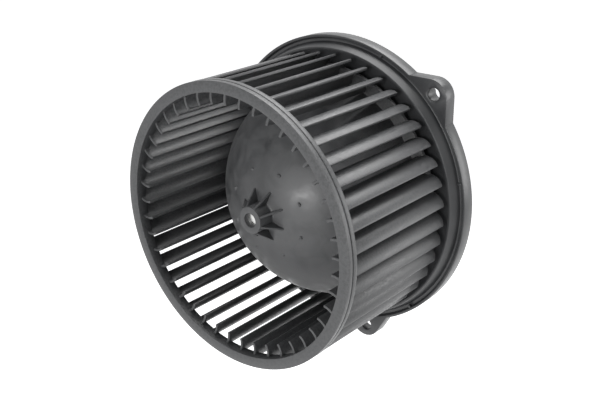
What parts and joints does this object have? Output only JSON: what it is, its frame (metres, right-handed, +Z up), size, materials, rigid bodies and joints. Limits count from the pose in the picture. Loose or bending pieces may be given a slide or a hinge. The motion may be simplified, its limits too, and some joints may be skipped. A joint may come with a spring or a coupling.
{
  "type": "cabin blower motor",
  "caption": "Cabin blower: forward-curved fan wheel on a small brush motor, held in a round mounting flange with screw ears and closed by a rear cover with a power socket.",
  "frame": {"origin": "centre of the circle of screw holes, in the plane of the ears' front faces, which seat on the heater housing", "axes": "Y is the spin axis: -Y out of the wheel's mouth and out of the seating face, +Y to the rear cover; +Z up in the picture's view, +X to the right seen from the mouth"},
  "size_m": [0.173, 0.136, 0.1725],
  "materials": {
    "wheel_plastic": "black moulded polypropylene, semi-gloss",
    "flange_plastic": "black glass-filled moulding, satin",
    "cover_plastic": "black moulding, fine grain",
    "shaft_steel": "ground, bright",
    "can_steel": "zinc plated pressing",
    "plate_steel": "zinc plated pressing, yellowed",
    "spring_steel": "dark spring steel",
    "screw_steel": "zinc plated",
    "core_steel": "stacked sheets, varnished",
    "ferrite": "sintered, ground",
    "sintered_bronze": "porous, oiled",
    "felt": "oiled wool felt",
    "rubber": "moulded",
    "card_board": "phenolic paper sheet",
    "holder_brass": "folded sheet",
    "brush_carbon": "copper graphite",
    "winding_copper": "enamelled wire",
    "commutator_copper": "turned, worn",
    "commutator_resin": "moulded resin",
    "insulator_fibre": "pressed fibre",
    "washer_fibre": "fibre",
    "choke_copper": "wound on a ferrite rod",
    "capacitor_coat": "dipped resin",
    "terminal_tin": "tinned"
  },
  "bodies": {
    "housing": {"mounting_flange": "flange_plastic", "rear_cover": "cover_plastic", "cover_screws": "screw_steel", "motor_can": "can_steel", "rubber_ring_front": "rubber", "rubber_ring_rear": "rubber", "magnet_right": "ferrite", "magnet_left": "ferrite", "magnet_clip_upper": "spring_steel", "magnet_clip_lower": "spring_steel", "front_bearing": "sintered_bronze", "oil_felt": "felt", "front_bearing_retainer": "spring_steel", "end_plate": "plate_steel", "rear_bearing": "sintered_bronze", "rear_bearing_retainer": "spring_steel", "brush_card": "card_board", "brush_holder_upper": "holder_brass", "brush_holder_lower": "holder_brass", "brush_spring_upper": "spring_steel", "brush_spring_lower": "spring_steel", "choke_right": "choke_copper", "choke_left": "choke_copper", "suppressor_capacitor": "capacitor_coat", "terminal_right": "terminal_tin", "terminal_left": "terminal_tin"},
    "rotor": {"fan_wheel": "wheel_plastic", "motor_shaft": "shaft_steel", "armature_core": "core_steel", "insulator_front": "insulator_fibre", "insulator_rear": "insulator_fibre", "armature_windings": "winding_copper", "commutator_hub": "commutator_resin", "commutator_bars": "commutator_copper", "thrust_washers": "washer_fibre", "oil_slinger": "shaft_steel"},
    "brush_upper": {"brush_upper": "brush_carbon"},
    "brush_lower": {"brush_lower": "brush_carbon"}
  },
  "joints": [
    {"name": "rotor_spin", "type": "hinge", "parent": "housing", "child": "rotor", "pos_m": [0, 0, 0], "axis": [0, 1, 0], "continuous": true},
    {"name": "brush_slide_upper", "type": "slide", "parent": "housing", "child": "brush_upper", "axis": [0, 0, 1], "range_m": [0, 0.0015], "stiffness_N_per_m": 250, "springref_m": -0.006, "deforming": ["brush_spring_upper"]},
    {"name": "brush_slide_lower", "type": "slide", "parent": "housing", "child": "brush_lower", "axis": [0, 0, -1], "range_m": [0, 0.0015], "stiffness_N_per_m": 250, "springref_m": -0.006, "deforming": ["brush_spring_lower"]}
  ]
}
